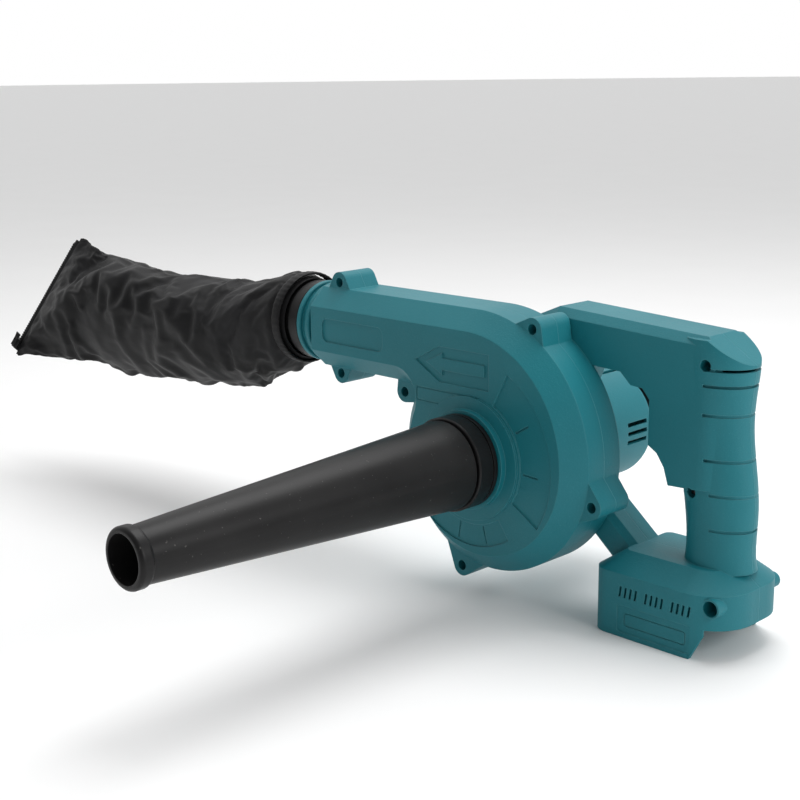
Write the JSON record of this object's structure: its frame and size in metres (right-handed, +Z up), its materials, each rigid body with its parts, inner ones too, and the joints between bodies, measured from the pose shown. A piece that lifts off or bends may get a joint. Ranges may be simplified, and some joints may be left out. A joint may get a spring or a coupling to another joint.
{
  "type": "cordless leaf blower",
  "caption": "Hand-held blower in vacuum set-up: scroll fan housing with tapered nozzle, cloth dust bag, motor barrel and D handle with trigger and battery foot.",
  "frame": {"origin": "centre of the battery foot's rim, on the plane that the rim stands on", "axes": "+X from the fan towards the back of the handle, the way a battery slides off; -Y along the fan axis, the way the nozzle points; +Z up. The bag points to -X."},
  "size_m": [0.7333, 0.4242, 0.2112],
  "materials": {
    "teal_housing": "fine moulded texture, satin",
    "black_rubber": "satin moulded rubber",
    "black_plastic": "semi-matt moulded plastic",
    "bag_cloth": "wrinkled woven nylon",
    "fan_plastic": "glass-filled nylon",
    "steel": "zinc-plated and turned steel",
    "iron": "stacked laminations",
    "magnet": "sintered ferrite",
    "copper": "enamelled copper",
    "brass": "stamped brass",
    "carbon": "pressed carbon",
    "board": "solder-masked laminate",
    "aluminium": "extruded"
  },
  "bodies": {
    "housing": {"volute_front": "teal_housing", "housing_near": "teal_housing", "housing_far": "teal_housing", "outlet_ring": "teal_housing", "volute_screws": "steel", "handle_screws": "steel", "motor_screws": "steel", "motor_can": "steel", "motor_magnets": "magnet", "front_bearing": "steel", "rear_bearing": "steel", "motor_end_cap": "black_plastic", "brush_holders": "brass", "carbon_brushes": "carbon", "brush_springs": "steel", "switch_body": "black_plastic", "trigger_spring": "steel", "terminal_block": "black_plastic", "battery_terminals": "brass", "controller_board": "board", "heatsink": "aluminium"},
    "fan": {"impeller": "fan_plastic", "impeller_nut": "steel", "motor_shaft": "steel", "armature_core": "iron", "windings": "copper", "commutator": "copper"},
    "trigger": {"trigger": "black_plastic", "switch_plunger": "steel"},
    "nozzle": {"nozzle": "black_rubber", "nozzle_collar": "black_plastic"},
    "bag": {"bag_collar": "black_plastic", "dust_bag": "bag_cloth", "bag_band": "bag_cloth", "zip_tape": "bag_cloth"},
    "zip": {"zip_slider": "black_plastic"}
  },
  "joints": [
    {"name": "fan_spin", "type": "hinge", "parent": "housing", "child": "fan", "pos_m": [-0.121, -0.034, 0.102], "axis": [0, 1, 0], "continuous": true},
    {"name": "trigger_pull", "type": "slide", "parent": "housing", "child": "trigger", "axis": [1, 0, 0], "range_m": [0, 0.006], "stiffness_N_per_m": 500, "springref_m": -0.004, "deforming": ["trigger_spring"]},
    {"name": "nozzle_pull", "type": "slide", "parent": "housing", "child": "nozzle", "axis": [0, -1, 0], "range_m": [0, 0.03]},
    {"name": "bag_pull", "type": "slide", "parent": "housing", "child": "bag", "axis": [-1, 0, 0], "range_m": [0, 0.04]},
    {"name": "zip_run", "type": "slide", "parent": "bag", "child": "zip", "axis": [0.4165, 0.3458, 0.8408], "range_m": [0, 0.1]}
  ]
}
